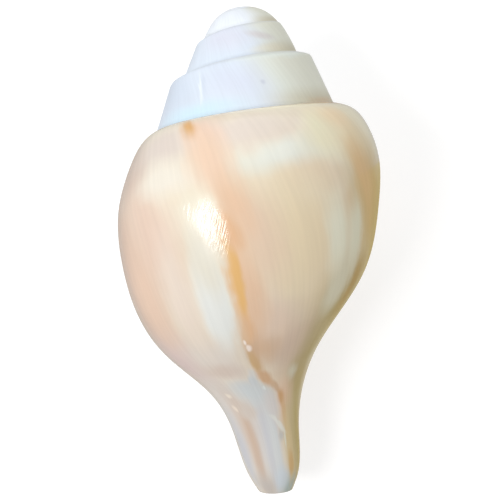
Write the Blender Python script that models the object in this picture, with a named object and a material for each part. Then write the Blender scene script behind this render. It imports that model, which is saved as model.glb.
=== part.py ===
"""Conch shell: a polished right-handed sea snail shell that lies on its mouth.

The shell is one solid. Its wall is described by growth sections: outlines of
the whorl, taken in planes through the coiling axis, at a number of turns back
from the lip. Radius is measured from the axis and depth from the tip of the
spire, both in millimetres. The wall is laid out as a few grids that share
their border points: spire, body whorl, columella, inside of the mouth, lip.
"""

from math import pi, radians, tau

import bmesh
import bpy
import numpy as np
from mathutils import Matrix, Vector

MM = 0.001
NAME = "conch_shell"

# Facets around one turn, and their rows down the outline
STEPS_PER_TURN = 42
SHOULDER_ROWS = 5
SEAM_ROWS = 2
BELLY_ROWS = 15
SHOULDER_CROWDING = 1.8
TIP_CROWDING = 1.25
# Border points closer than this, in metres, are one point
MERGE = 1e-6

# The suture is the seam between two whorls: turns back from the lip, radius, depth
SUTURE = (
    (-0.10, 27.6, 34.8),
    (0.15, 25.4, 32.2),
    (0.35, 24.0, 30.6),
    (0.61, 22.4, 27.2),
    (1.15, 17.3, 18.6),
    (1.61, 13.6, 13.0),
    (2.15, 11.4, 8.6),
    (2.61, 9.2, 4.6),
    (3.20, 6.6, 1.9),
    (3.80, 3.6, 0.5),
    (4.50, 0.0, 0.0),
)
SPIRE_START = 4.5
# The last bit of the spiral is closed with one small cap
APEX_CAP_TURNS = 0.12

# The worn top of the spire is a dome: depth = CROWN r^2 + STEEPER r^4
CROWN = 0.034
STEEPER = 0.00025
# It is a full dome from the first of these turns on, and none below the second
DOME_FROM = 3.0
DOME_UNTIL = 2.15

# Overhang of each whorl past the seam above it: turns back from the lip, width
LEDGE = ((0.0, 3.0), (1.0, 3.0), (1.15, 2.7), (1.6, 2.9), (2.15, 1.2), (2.6, 0.3), (3.0, 0.0), (6.0, 0.0))
# Share of the way down a spire whorl on which the overhang builds up
LEDGE_SHARE = 0.10
# Turns over which the body's outline turns into that of a spire whorl
SPIRE_FROM = 0.65
SPIRE_UNTIL = 1.0
# Turns over which the seam line starts to follow the seam of the next whorl
COVERED_FROM = 0.84
COVERED_UNTIL = 0.92

# Places down the outline, about the distance along it from the suture
PLACES = (0.0, 4.5, 13.0, 24.0, 36.0, 52.0, 72.0, 88.0, 101.0, 111.0, 117.0)
SEAM_PLACE = 24.0
CORNER_PLACE = 27.5
TIP_PLACE = 117.0
# Share of the way from the base to the tip at which the stem is measured
STEM_SHARES = (0.30, 0.60, 0.87)
TIP_DEPTH = 129.8

# Turns back from the lip: shoulder, upper side, seam line, belly, lower belly and
# base, each (radius, depth), then the radii down the stem to the tip
SECTIONS = {
    -0.10: ((31.5, 38.6), (35.8, 46.0), (38.0, 56.0), (38.4, 67.0), (36.0, 82.0), (26.2, 96.0), 15.0, 9.6, 7.4, 4.6),
    0.15: ((28.6, 34.2), (32.8, 40.5), (36.3, 50.0), (37.3, 60.5), (34.8, 76.5), (26.0, 92.4), 15.0, 10.0, 7.2, 4.6),
    0.38: ((27.6, 31.0), (32.0, 37.0), (35.0, 47.0), (35.3, 58.0), (32.0, 74.0), (22.0, 90.0), 12.6, 8.6, 7.0, 4.6),
    0.61: ((26.4, 28.6), (30.8, 33.6), (33.4, 43.0), (32.5, 55.0), (28.1, 71.0), (16.3, 87.0), 9.8, 7.5, 6.7, 4.6),
    0.84: ((24.0, 24.8), (27.6, 29.8), (29.6, 38.0), (29.6, 49.5), (26.2, 63.0), (16.4, 77.0), 8.8, 6.0, 5.0, 3.6),
    1.00: ((22.2, 22.4), (25.2, 26.6), (26.8, 33.3), (26.8, 44.5), (24.0, 56.0), (15.6, 68.5), 8.0, 4.6, 3.6, 2.6),
}
# Inside the mouth the outline of the whorl before is seen, smaller by this ratio
WHORL_GROWTH = 1.45
INNER_TURNS = (1.25, 1.50, 1.75)
COLUMELLA = ((7.4, 4.4, 3.2, 2.4), (7.4, 4.8, 4.2, 3.8), (7.6, 6.0, 5.4, 5.0))

# Azimuth of the lip at the belly, seen from the tip of the spire side
LIP_AZIMUTH = 226.0
# How far ahead of the belly the lip stands at each place, in degrees
LIP_LEAD = (26.0, 22.0, 14.0, 8.0, 2.0, -3.0, -4.0, -8.0, -20.0, -28.0, -30.0)
# Stretch of places in which covered wall goes from an even seam to the lip's shape
COVERED_BLEND = 16.0

# Depth of the mouth and of the open slit at the tip, in turns
MOUTH_TURNS = 0.65
SLIT_TURNS = 0.36
# Behind the slit the lower end of the mouth climbs to this depth
MOUTH_END_DEPTH = 96.0
MOUTH_END_POWER = 0.8

# Wall thickness at the places, behind the lip
WALL = (3.4, 3.4, 3.6, 3.6, 3.4, 3.2, 3.0, 2.8, 2.4, 2.0, 1.0)
# Length along the outline on which the direction of a wall is measured
WALL_PROBE = 1.0
# Above this place the inside runs straight to the corner under the seam
UNDER_SHOULDER = 8.0
# Below this place the wall's thickness is measured level
FLARE_PLACE = 104.0
# Below this place the inside bends towards the columella
BEND_PLACE = 60.0
BEND_POWER = 1.5
# The wall at the lip has this share of its thickness, growing over these turns
LIP_THINNING = 0.72
THINNING_TURNS = 0.08
# Length of the tip end on which the rounded lip fades out
LIP_FADE = 6.0

# How the shell lies: turned about its axis, then tipped, then levelled by this much
ROLL = 4.7
PITCH = 10.6
GROUND_FLAT = 0.35

SHELL_COLOUR = (0.83, 0.62, 0.45, 1.0)
POLISH = 0.2
SMOOTH_BELOW = 40.0


def smooth_step(x):
    x = np.clip(x, 0.0, 1.0)
    return x * x * (3.0 - 2.0 * x)


def smooth_curve(knots, values, at):
    """Natural cubic spline through values, which may be arrays, read at the given places."""
    knots = np.asarray(knots, float)
    values = np.asarray(values, float)
    at = np.asarray(at, float)
    count = len(knots)
    flat = values.reshape(count, -1)
    gaps = np.diff(knots)
    matrix = np.eye(count)
    right = np.zeros_like(flat)
    for row in range(1, count - 1):
        before, after = gaps[row - 1], gaps[row]
        matrix[row, row - 1 : row + 2] = before, 2.0 * (before + after), after
        rise = (flat[row + 1] - flat[row]) / after - (flat[row] - flat[row - 1]) / before
        right[row] = 6.0 * rise
    bend = np.linalg.solve(matrix, right)
    left = np.clip(np.searchsorted(knots, at) - 1, 0, count - 2)
    gap = gaps[left][..., None]
    done = (at - knots[left])[..., None]
    todo = gap - done
    result = (bend[left] * todo**3 + bend[left + 1] * done**3) / (6.0 * gap)
    result += (flat[left] / gap - bend[left] * gap / 6.0) * todo
    result += (flat[left + 1] / gap - bend[left + 1] * gap / 6.0) * done
    return result.reshape(at.shape + values.shape[1:])


def dome_depth(radius):
    return CROWN * radius**2 + STEEPER * radius**4


def suture(turn):
    """Radius and depth of the seam between whorls, this many turns back from the lip."""
    table = np.array(SUTURE)
    point = smooth_curve(table[:, 0], table[:, 1:], np.minimum(turn, SPIRE_START))
    on_dome = smooth_step((turn - DOME_UNTIL) / (DOME_FROM - DOME_UNTIL))
    radius = np.maximum(point[..., 0], 0.0)
    depth = point[..., 1] + on_dome * (dome_depth(radius) - point[..., 1])
    return np.stack([radius, depth], axis=-1)


def end_depth(turn):
    """Depth at which the outline ends: the tip, or the floor of the mouth deeper inside."""
    inside = (turn - 1.0 - SLIT_TURNS) / (MOUTH_TURNS - SLIT_TURNS)
    rise = np.clip(inside, 0.0, None) ** MOUTH_END_POWER
    return TIP_DEPTH - (TIP_DEPTH - MOUTH_END_DEPTH) * rise


def section_table():
    """The growth sections as arrays: turns, and radius and depth at each place."""
    turns = sorted(SECTIONS)
    rows = []
    for turn in turns:
        section = SECTIONS[turn]
        rows.append([(0.0, 0.0), *section[:6], *((radius, 0.0) for radius in section[6:])])
    outer = np.array(rows)
    inner = smooth_curve(turns, outer, np.array(INNER_TURNS) - 1.0) / WHORL_GROWTH
    for number, radii in enumerate(COLUMELLA):
        inner[number, 7:, 0] = radii
    return np.array([*turns, *INNER_TURNS]), np.concatenate([outer, inner])


SECTION_TURNS, SECTION_POINTS = section_table()


def growth_section(turn, place):
    """Radius and depth on the outside of the whorl."""
    turn, place = np.broadcast_arrays(np.asarray(turn, float), np.asarray(place, float))
    shape = turn.shape
    turn, place = turn.ravel(), place.ravel()
    points = smooth_curve(SECTION_TURNS, SECTION_POINTS, turn)
    points[:, 0] = suture(turn)
    covered = smooth_step((turn - COVERED_FROM) / (COVERED_UNTIL - COVERED_FROM))[:, None]
    points[:, 3] += covered * (suture(turn - 1.0) - points[:, 3])
    points[:, -1, 1] = end_depth(turn)
    base = points[:, 6, 1]
    for number, share in enumerate(STEM_SHARES):
        points[:, 7 + number, 1] = base + share * (points[:, -1, 1] - base)
    weights = smooth_curve(PLACES, np.eye(len(PLACES)), place)
    return np.einsum("np,npc->nc", weights, points).reshape(shape + (2,))


def whorl_band(turn, share):
    """Radius and depth on a spire whorl, from its upper seam (share 0) to its lower (1)."""
    upper = suture(turn)
    lower = np.where(turn[..., None] >= 1.0, suture(turn - 1.0), growth_section(turn, SEAM_PLACE))
    chord = upper + (lower - upper) * share[..., None]
    on_dome = smooth_step((turn - DOME_UNTIL) / (DOME_FROM - DOME_UNTIL))
    flat = dome_depth(upper[..., 0]) * (1.0 - share) + dome_depth(lower[..., 0]) * share
    depth = chord[..., 1] + on_dome * (dome_depth(chord[..., 0]) - flat)
    table = np.array(LEDGE)
    width = np.interp(turn, table[:, 0], table[:, 1])
    rising = np.sin(np.clip(share / LEDGE_SHARE, 0.0, 1.0) * pi / 2.0)
    fading = 1.0 - (share - LEDGE_SHARE) / (1.0 - LEDGE_SHARE)
    radius = chord[..., 0] + width * np.where(share < LEDGE_SHARE, rising, fading)
    return np.stack([radius, depth], axis=-1)


def outside(turn, place):
    """Radius and depth on the outside of the shell, spire and body alike."""
    turn, place = np.broadcast_arrays(np.asarray(turn, float), np.asarray(place, float))
    above = place <= SEAM_PLACE
    band = whorl_band(turn, np.clip(place / SEAM_PLACE, 0.0, 1.0))
    body = growth_section(np.minimum(turn, SECTION_TURNS[-1]), place)
    share = smooth_step((turn - SPIRE_FROM) / (SPIRE_UNTIL - SPIRE_FROM))
    spire = np.where(above, share, 0.0)[..., None]
    return body + spire * (band - body)


def lip_lead(place):
    """How far the lip stands ahead of the belly, in turns."""
    return smooth_curve(PLACES, LIP_LEAD, place) / 360.0


SEAM_LEAD = LIP_LEAD[0] / 360.0


def covered_lead(place):
    """The same where the next whorl covers the wall: even along the seam, then as the lip."""
    own = lip_lead(place)
    return own + (SEAM_LEAD - own) * (1.0 - smooth_step((place - CORNER_PLACE) / COVERED_BLEND))


def wall_lead(turn, place):
    """Lead of the grid lines on the outside, which join the lip's shape to even seams."""
    share = np.clip(place / SEAM_PLACE, 0.0, 1.0)
    age = np.clip(turn, 0.0, 1.0)
    own = lip_lead(place)
    below = own + age * (covered_lead(place) - own)
    seam = lip_lead(np.asarray(SEAM_PLACE))
    top = SEAM_LEAD * (1.0 - smooth_step(turn))
    older = SEAM_LEAD * (1.0 - smooth_step(turn - 1.0))
    bottom = np.where(turn > 1.0, older, seam + age * (SEAM_LEAD - seam))
    curve = own - (SEAM_LEAD + (seam - SEAM_LEAD) * share)
    above = top + (bottom - top) * share + (1.0 - age) * curve
    return np.where(place <= SEAM_PLACE, above, below)


def in_space(turn, outline):
    """Points of an outline, set round the axis: the spire is at +Y and the back at +Z."""
    azimuth = np.radians(LIP_AZIMUTH) - tau * turn
    radius, depth = outline[..., 0], outline[..., 1]
    return np.stack([radius * np.cos(azimuth), -depth, radius * np.sin(azimuth)], axis=-1)


def outer_wall(turn, place):
    real = turn - wall_lead(turn, place)
    return in_space(real, outside(real, place))


def columella(turn, place):
    real = turn - covered_lead(place)
    return in_space(real, outside(real, place))


def inner_wall(behind, place):
    """The inside of the outer wall, this many turns behind the lip."""
    real = behind - lip_lead(place)
    lower = np.maximum(place, UNDER_SHOULDER)
    wall = outside(real, lower)
    along = outside(real, lower + WALL_PROBE / 2.0) - outside(real, lower - WALL_PROBE / 2.0)
    inward = np.stack([-along[..., 1], along[..., 0]], axis=-1)
    inward[place > FLARE_PLACE] = (-1.0, 0.0)
    inward /= np.linalg.norm(inward, axis=-1, keepdims=True)
    thin = 1.0 - (1.0 - LIP_THINNING) * (1.0 - smooth_step(behind / THINNING_TURNS))
    point = wall + inward * (smooth_curve(PLACES, WALL, lower) * thin)[..., None]
    corner = outside(1.0 + behind - SEAM_LEAD, np.full_like(place, CORNER_PLACE))
    near = np.clip(1.0 - place / UNDER_SHOULDER, 0.0, 1.0)[..., None]
    point += near * (corner - point)
    return in_space(real, point + inner_end_shift(behind, place))


def inner_end_shift(behind, place):
    """Moves the lower end of the inside onto the columella, where the mouth is not open."""
    real = behind - lip_lead(np.full_like(place, TIP_PLACE))
    rim = outside(real, TIP_PLACE) - np.array([WALL[-1], 0.0])
    end = outside(1.0 + real, TIP_PLACE)
    closing = smooth_step(real / SLIT_TURNS)[..., None]
    wanted = end + (1.0 - closing) * (rim - end) * np.array([1.0, 0.0])
    bend = np.clip((place - BEND_PLACE) / (TIP_PLACE - BEND_PLACE), 0.0, 1.0)[..., None]
    return bend**BEND_POWER * (wanted - rim)


def lip_edge(share, place):
    """The rounded lip, from the outside (share 0) to the inside (share 1)."""
    start = outer_wall(np.zeros_like(share), place)
    end = inner_wall(np.zeros_like(share), place)
    even = ((1.0 - np.cos(pi * share)) / 2.0)[..., None]
    point = start + (end - start) * even
    thickness = np.linalg.norm(end - start, axis=-1)
    ahead = np.stack([point[..., 2], np.zeros_like(share), -point[..., 0]], axis=-1)
    ahead /= -np.linalg.norm(ahead, axis=-1, keepdims=True)
    free = smooth_step(place / UNDER_SHOULDER) * smooth_step((TIP_PLACE - place) / LIP_FADE)
    point += ahead * (thickness / 2.0 * np.sin(pi * share) * free)[..., None]
    on_seam = columella(np.ones_like(share), SEAM_PLACE + share * (CORNER_PLACE - SEAM_PLACE))
    return np.where((place == 0.0)[..., None], on_seam, point)


def add_sheet(shape, first, last, wall):
    """Lays a grid on a wall: first and last are the values along its two sides."""
    grid = bmesh.ops.create_grid(shape, x_segments=len(first) - 1, y_segments=len(last) - 1, size=1.0)
    along, across = np.meshgrid(first, last)
    points = wall(along.ravel(), across.ravel()) * MM
    for vertex, point in zip(grid["verts"], points):
        vertex.co = point


def row_places():
    upper = SEAM_PLACE * np.linspace(0.0, 1.0, SHOULDER_ROWS + 1) ** SHOULDER_CROWDING
    seam = np.linspace(SEAM_PLACE, CORNER_PLACE, SEAM_ROWS + 1)
    down = np.linspace(0.0, 1.0, BELLY_ROWS + 1)
    lower = CORNER_PLACE + (TIP_PLACE - CORNER_PLACE) * (1.0 - (1.0 - down) ** TIP_CROWDING)
    return np.concatenate([upper, seam[1:], lower[1:]])


def build_shell():
    shape = bmesh.new()
    places = row_places()
    steps = STEPS_PER_TURN
    spire_steps = round((SPIRE_START - APEX_CAP_TURNS) * steps)
    spire_turns = 1.0 + np.arange(spire_steps + 1) / steps
    body_turns = np.arange(steps + 1) / steps
    mouth_steps = round(MOUTH_TURNS * steps)
    mouth_turns = np.arange(mouth_steps + 1) / steps
    upper = places[: SHOULDER_ROWS + 1]
    covered = places[SHOULDER_ROWS + SEAM_ROWS :]
    add_sheet(shape, spire_turns, upper, outer_wall)
    add_sheet(shape, body_turns, places, outer_wall)
    add_sheet(shape, 1.0 + mouth_turns, covered, columella)
    add_sheet(shape, mouth_turns, places, inner_wall)
    add_sheet(shape, np.linspace(0.0, 1.0, SEAM_ROWS + 1), places, lip_edge)
    bmesh.ops.remove_doubles(shape, verts=shape.verts, dist=MERGE)
    bmesh.ops.holes_fill(shape, edges=[edge for edge in shape.edges if edge.is_boundary])
    bmesh.ops.recalc_face_normals(shape, faces=shape.faces)
    return shape


def lay_down(shape):
    """Turns the shell onto its mouth and levels the places where it touches the ground."""
    turned = Matrix.Rotation(radians(PITCH), 4, "X") @ Matrix.Rotation(radians(ROLL), 4, "Y")
    bmesh.ops.transform(shape, matrix=turned, verts=shape.verts)
    lowest = min(vertex.co.z for vertex in shape.verts)
    floor = Vector((0.0, 0.0, lowest + GROUND_FLAT * MM))
    everything = shape.verts[:] + shape.edges[:] + shape.faces[:]
    cut = bmesh.ops.bisect_plane(
        shape, geom=everything, dist=MERGE, plane_co=floor, plane_no=(0.0, 0.0, 1.0), clear_inner=True
    )
    bmesh.ops.holes_fill(shape, edges=[edge for edge in shape.edges if edge.is_boundary])
    corners = np.array([vertex.co for vertex in shape.verts])
    middle = (corners.min(axis=0) + corners.max(axis=0)) / 2.0
    shift = Vector((-middle[0], -middle[1], -floor.z))
    bmesh.ops.translate(shape, vec=shift, verts=shape.verts)
    bmesh.ops.triangulate(shape, faces=shape.faces)
    bmesh.ops.recalc_face_normals(shape, faces=shape.faces)


def shell_material():
    material = bpy.data.materials.new("polished_shell")
    material.use_nodes = True
    surface = material.node_tree.nodes["Principled BSDF"]
    surface.inputs["Base Color"].default_value = SHELL_COLOUR
    surface.inputs["Roughness"].default_value = POLISH
    surface.inputs["Metallic"].default_value = 0.0
    return material


def main():
    for item in list(bpy.data.objects):
        bpy.data.objects.remove(item)
    shape = build_shell()
    lay_down(shape)
    mesh = bpy.data.meshes.new(NAME)
    shape.to_mesh(mesh)
    shape.free()
    mesh.materials.append(shell_material())
    mesh.shade_smooth()
    mesh.set_sharp_from_angle(angle=radians(SMOOTH_BELOW))
    parts = bpy.data.collections.new(NAME)
    bpy.context.scene.collection.children.link(parts)
    parts.objects.link(bpy.data.objects.new(NAME, mesh))


main()
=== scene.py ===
"""Looks of a polished conch shell that lies on its mouth.

The shell's wall is laid out again from the growth sections that its solid is made
of, in finer steps, with folds on the columella and with the growth itself kept as a
map: how far round the shell grew, and how far down its outline, both in millimetres.
The markings are set out on that map, so they run along the growth of the shell.
"""

from math import pi, radians, tau

import bmesh
import bpy
import numpy as np
from mathutils import Matrix, Vector, noise


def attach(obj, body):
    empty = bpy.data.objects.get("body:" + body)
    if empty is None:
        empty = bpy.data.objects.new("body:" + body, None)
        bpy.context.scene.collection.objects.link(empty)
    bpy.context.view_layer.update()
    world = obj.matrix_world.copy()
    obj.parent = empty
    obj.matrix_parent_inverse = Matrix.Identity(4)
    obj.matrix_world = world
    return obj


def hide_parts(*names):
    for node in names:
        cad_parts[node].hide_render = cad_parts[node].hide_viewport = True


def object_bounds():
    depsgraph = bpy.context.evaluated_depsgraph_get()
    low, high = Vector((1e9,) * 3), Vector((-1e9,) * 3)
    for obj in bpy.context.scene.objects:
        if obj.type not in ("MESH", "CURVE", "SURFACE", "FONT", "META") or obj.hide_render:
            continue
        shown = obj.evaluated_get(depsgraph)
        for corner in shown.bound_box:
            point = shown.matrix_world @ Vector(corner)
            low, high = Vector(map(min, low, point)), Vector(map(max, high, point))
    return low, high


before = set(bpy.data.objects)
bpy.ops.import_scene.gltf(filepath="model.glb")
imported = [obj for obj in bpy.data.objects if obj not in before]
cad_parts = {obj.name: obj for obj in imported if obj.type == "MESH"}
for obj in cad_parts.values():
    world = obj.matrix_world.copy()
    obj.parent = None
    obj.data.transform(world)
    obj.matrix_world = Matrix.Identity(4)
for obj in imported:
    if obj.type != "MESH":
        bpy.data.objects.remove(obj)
SOLID_LOW, SOLID_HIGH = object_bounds()

MM = 0.001
NODE = "conch_shell"

# Steps of the fine mesh round one turn, and its rows down the outline
STEPS_PER_TURN = 200
SHOULDER_ROWS = 16
SEAM_ROWS = 6
BELLY_ROWS = 64
SHOULDER_CROWDING = 1.8
TIP_CROWDING = 1.25
# Border points closer than this, in metres, are one point
MERGE = 1e-6

# The suture is the seam between two whorls: turns back from the lip, radius, depth
SUTURE = (
    (-0.10, 27.6, 34.8),
    (0.15, 25.4, 32.2),
    (0.35, 24.0, 30.6),
    (0.61, 22.4, 27.2),
    (1.15, 17.3, 18.6),
    (1.61, 13.6, 13.0),
    (2.15, 11.4, 8.6),
    (2.61, 9.2, 4.6),
    (3.20, 6.6, 1.9),
    (3.80, 3.6, 0.5),
    (4.50, 0.0, 0.0),
)
SPIRE_START = 4.5
# The last bit of the spiral is closed with one small cap
APEX_CAP_TURNS = 0.12

# The worn top of the spire is a dome: depth = CROWN r^2 + STEEPER r^4
CROWN = 0.034
STEEPER = 0.00025
# It is a full dome from the first of these turns on, and none below the second
DOME_FROM = 3.0
DOME_UNTIL = 2.15

# Overhang of each whorl past the seam above it: turns back from the lip, width
LEDGE = (
    (0.0, 3.0),
    (1.0, 3.0),
    (1.15, 2.7),
    (1.6, 2.9),
    (2.15, 1.2),
    (2.6, 0.3),
    (3.0, 0.0),
    (6.0, 0.0),
)
# Share of the way down a spire whorl on which the overhang builds up
LEDGE_SHARE = 0.10
# Turns over which the body's outline turns into that of a spire whorl
SPIRE_FROM = 0.65
SPIRE_UNTIL = 1.0
# Turns over which the seam line starts to follow the seam of the next whorl
COVERED_FROM = 0.84
COVERED_UNTIL = 0.92

# Places down the outline, about the distance along it from the suture
PLACES = (0.0, 4.5, 13.0, 24.0, 36.0, 52.0, 72.0, 88.0, 101.0, 111.0, 117.0)
SEAM_PLACE = 24.0
CORNER_PLACE = 27.5
TIP_PLACE = 117.0
# Share of the way from the base to the tip at which the stem is measured
STEM_SHARES = (0.30, 0.60, 0.87)
TIP_DEPTH = 129.8

# Turns back from the lip: shoulder, upper side, seam line, belly, lower belly and
# base, each (radius, depth), then the radii down the stem to the tip
SECTIONS = {
    -0.10: (
        (31.5, 38.6), (35.8, 46.0), (38.0, 56.0), (38.4, 67.0), (36.0, 82.0), (26.2, 96.0),
        15.0, 9.6, 7.4, 4.6,
    ),
    0.15: (
        (28.6, 34.2), (32.8, 40.5), (36.3, 50.0), (37.3, 60.5), (34.8, 76.5), (26.0, 92.4),
        15.0, 10.0, 7.2, 4.6,
    ),
    0.38: (
        (27.6, 31.0), (32.0, 37.0), (35.0, 47.0), (35.3, 58.0), (32.0, 74.0), (22.0, 90.0),
        12.6, 8.6, 7.0, 4.6,
    ),
    0.61: (
        (26.4, 28.6), (30.8, 33.6), (33.4, 43.0), (32.5, 55.0), (28.1, 71.0), (16.3, 87.0),
        9.8, 7.5, 6.7, 4.6,
    ),
    0.84: (
        (24.0, 24.8), (27.6, 29.8), (29.6, 38.0), (29.6, 49.5), (26.2, 63.0), (16.4, 77.0),
        8.8, 6.0, 5.0, 3.6,
    ),
    1.00: (
        (22.2, 22.4), (25.2, 26.6), (26.8, 33.3), (26.8, 44.5), (24.0, 56.0), (15.6, 68.5),
        8.0, 4.6, 3.6, 2.6,
    ),
}
# Inside the mouth the outline of the whorl before is seen, smaller by this ratio
WHORL_GROWTH = 1.45
INNER_TURNS = (1.25, 1.50, 1.75)
COLUMELLA = ((7.4, 4.4, 3.2, 2.4), (7.4, 4.8, 4.2, 3.8), (7.6, 6.0, 5.4, 5.0))

# Folds that wind down the columella: their depths where the mouth opens, and size
FOLD_DEPTHS = (72.0, 78.5, 85.5)
FOLD_RISE_PER_TURN = 16.0
FOLD_HEIGHT = 1.3
FOLD_WIDTH = 1.7
FOLD_FROM = 1.03
FOLD_UNTIL = 1.12

# Azimuth of the lip at the belly, in degrees from +X towards +Z
LIP_AZIMUTH = 226.0
# How far ahead of the belly the lip stands at each place, in degrees
LIP_LEAD = (26.0, 22.0, 14.0, 8.0, 2.0, -3.0, -4.0, -8.0, -20.0, -28.0, -30.0)
# Stretch of places in which covered wall goes from an even seam to the lip's shape
COVERED_BLEND = 16.0

# Depth of the mouth and of the open slit at the tip, in turns
MOUTH_TURNS = 0.65
SLIT_TURNS = 0.36
# Behind the slit the lower end of the mouth climbs to this depth
MOUTH_END_DEPTH = 96.0
MOUTH_END_POWER = 0.8

# Wall thickness at the places, behind the lip
WALL = (3.4, 3.4, 3.6, 3.6, 3.4, 3.2, 3.0, 2.8, 2.4, 2.0, 1.0)
# Length along the outline on which the direction of a wall is measured
WALL_PROBE = 1.0
# Above this place the inside runs straight to the corner under the seam
UNDER_SHOULDER = 8.0
# Below this place the wall's thickness is measured level
FLARE_PLACE = 104.0
# Below this place the inside bends towards the columella
BEND_PLACE = 60.0
BEND_POWER = 1.5
# The wall at the lip has this share of its thickness, growing over these turns
LIP_THINNING = 0.72
THINNING_TURNS = 0.08
# Length of the tip end on which the rounded lip fades out
LIP_FADE = 6.0

# How the shell lies: turned about its axis, then tipped, then levelled by this much
ROLL = 4.7
PITCH = 10.6
GROUND_FLAT = 0.35

# The hand-worked surface dips by up to this much, in patches about this wide
DIP = 0.10
DIP_PATCH = 11.0

# One turn of growth is this long on the map, which makes it about true at the belly
TURN_ON_MAP = 225.0

# Heights, in millimetres, of the growth lines and of the scratches that polishing left
LINE_HEIGHT = 0.018
FINE_LINE_HEIGHT = 0.006
SCRATCH_HEIGHT = 0.18
# Where it is scratched most: centre and half size on the growth map, lean, edge, strength
SCRATCHED = ((75.4, 36.2), (2.7, 6.4), 0.0, 0.5, 0.8)
SCRATCHED_BESIDE = ((70.4, 30.4), (1.7, 3.4), 0.0, 0.7, 0.45)
# How strongly the plain polish reflects, how strongly the scratched patches do, and
# the share of scratching from which they do so fully
PLAIN_BRILLIANCE = 0.5
SCRATCH_BRILLIANCE = 0.9
BRILLIANT_FROM = 0.6
# Lines and scratches: lean off the growth lines in degrees, width and length in
# millimetres, and how finely they are broken up
GROWTH_LINES = (0.0, 1.3, 26.0, 3.0)
FINE_LINES = (0.0, 0.5, 9.0, 1.0)
STEEP_SCRATCHES = (32.0, 0.38, 4.8, 1.0)
LEVEL_SCRATCHES = (-76.0, 0.6, 5.0, 1.0)
# The same for the lines along which the edges of markings stray
STRAY_LINES = (0.0, 5.0, 16.0, 3.0)
# Patches, in metres, and share of the few scratches that lie anywhere
STEEP_PATCH = 0.018
STEEP_SHARE = 0.12
LEVEL_PATCH = 0.014
LEVEL_SHARE = 0.2
# Blotches, in metres, of the haze on the polish, of the stray edges and of the colours
HAZE_BLOTCH = 0.012
STRAY_BLOTCH = 0.009
BODY_BLOTCH = 0.02
GLAZE_BLOTCH = 0.015
# Roughness where the polish is best and where it is least, on the body and on the spire
GLOSS = 0.13
DULLEST = 0.24
SPIRE_GLOSS = 0.28
SPIRE_DULLEST = 0.34
# The same of the glaze in the mouth
GLAZE_GLOSS = 0.08
GLAZE_DULLEST = 0.18
# How strongly the wall mirrors, and how far the edges of markings stray, in millimetres
SHELL_IOR = 1.46
WANDER = 2.4
# How dark and how light the growth lines are, on the outside and in the mouth
OUTSIDE_LINES = (0.975, 1.012)
GLAZE_LINES = (0.95, 1.02)


# The shape of the shell


def smooth_step(x):
    x = np.clip(x, 0.0, 1.0)
    return x * x * (3.0 - 2.0 * x)


def smooth_curve(knots, values, at):
    """Natural cubic spline through values, which may be arrays, read at the given places."""
    knots = np.asarray(knots, float)
    values = np.asarray(values, float)
    at = np.asarray(at, float)
    count = len(knots)
    flat = values.reshape(count, -1)
    gaps = np.diff(knots)
    matrix = np.eye(count)
    right = np.zeros_like(flat)
    for row in range(1, count - 1):
        before, after = gaps[row - 1], gaps[row]
        matrix[row, row - 1 : row + 2] = before, 2.0 * (before + after), after
        rise = (flat[row + 1] - flat[row]) / after - (flat[row] - flat[row - 1]) / before
        right[row] = 6.0 * rise
    bend = np.linalg.solve(matrix, right)
    left = np.clip(np.searchsorted(knots, at) - 1, 0, count - 2)
    gap = gaps[left][..., None]
    done = (at - knots[left])[..., None]
    todo = gap - done
    result = (bend[left] * todo**3 + bend[left + 1] * done**3) / (6.0 * gap)
    result += (flat[left] / gap - bend[left] * gap / 6.0) * todo
    result += (flat[left + 1] / gap - bend[left + 1] * gap / 6.0) * done
    return result.reshape(at.shape + values.shape[1:])


def dome_depth(radius):
    return CROWN * radius**2 + STEEPER * radius**4


def suture(turn):
    """Radius and depth of the seam between whorls, this many turns back from the lip."""
    table = np.array(SUTURE)
    point = smooth_curve(table[:, 0], table[:, 1:], np.minimum(turn, SPIRE_START))
    on_dome = smooth_step((turn - DOME_UNTIL) / (DOME_FROM - DOME_UNTIL))
    radius = np.maximum(point[..., 0], 0.0)
    depth = point[..., 1] + on_dome * (dome_depth(radius) - point[..., 1])
    return np.stack([radius, depth], axis=-1)


def end_depth(turn):
    """Depth at which the outline ends: the tip, or the floor of the mouth deeper inside."""
    inside = (turn - 1.0 - SLIT_TURNS) / (MOUTH_TURNS - SLIT_TURNS)
    rise = np.clip(inside, 0.0, None) ** MOUTH_END_POWER
    return TIP_DEPTH - (TIP_DEPTH - MOUTH_END_DEPTH) * rise


def section_table():
    """The growth sections as arrays: turns, and radius and depth at each place."""
    turns = sorted(SECTIONS)
    rows = []
    for turn in turns:
        section = SECTIONS[turn]
        rows.append([(0.0, 0.0), *section[:6], *((radius, 0.0) for radius in section[6:])])
    outer = np.array(rows)
    inner = smooth_curve(turns, outer, np.array(INNER_TURNS) - 1.0) / WHORL_GROWTH
    for number, radii in enumerate(COLUMELLA):
        inner[number, 7:, 0] = radii
    return np.array([*turns, *INNER_TURNS]), np.concatenate([outer, inner])


SECTION_TURNS, SECTION_POINTS = section_table()


def growth_section(turn, place):
    """Radius and depth on the outside of the whorl."""
    turn, place = np.broadcast_arrays(np.asarray(turn, float), np.asarray(place, float))
    shape = turn.shape
    turn, place = turn.ravel(), place.ravel()
    points = smooth_curve(SECTION_TURNS, SECTION_POINTS, turn)
    points[:, 0] = suture(turn)
    covered = smooth_step((turn - COVERED_FROM) / (COVERED_UNTIL - COVERED_FROM))[:, None]
    points[:, 3] += covered * (suture(turn - 1.0) - points[:, 3])
    points[:, -1, 1] = end_depth(turn)
    base = points[:, 6, 1]
    for number, share in enumerate(STEM_SHARES):
        points[:, 7 + number, 1] = base + share * (points[:, -1, 1] - base)
    weights = smooth_curve(PLACES, np.eye(len(PLACES)), place)
    return np.einsum("np,npc->nc", weights, points).reshape(shape + (2,))


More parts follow.
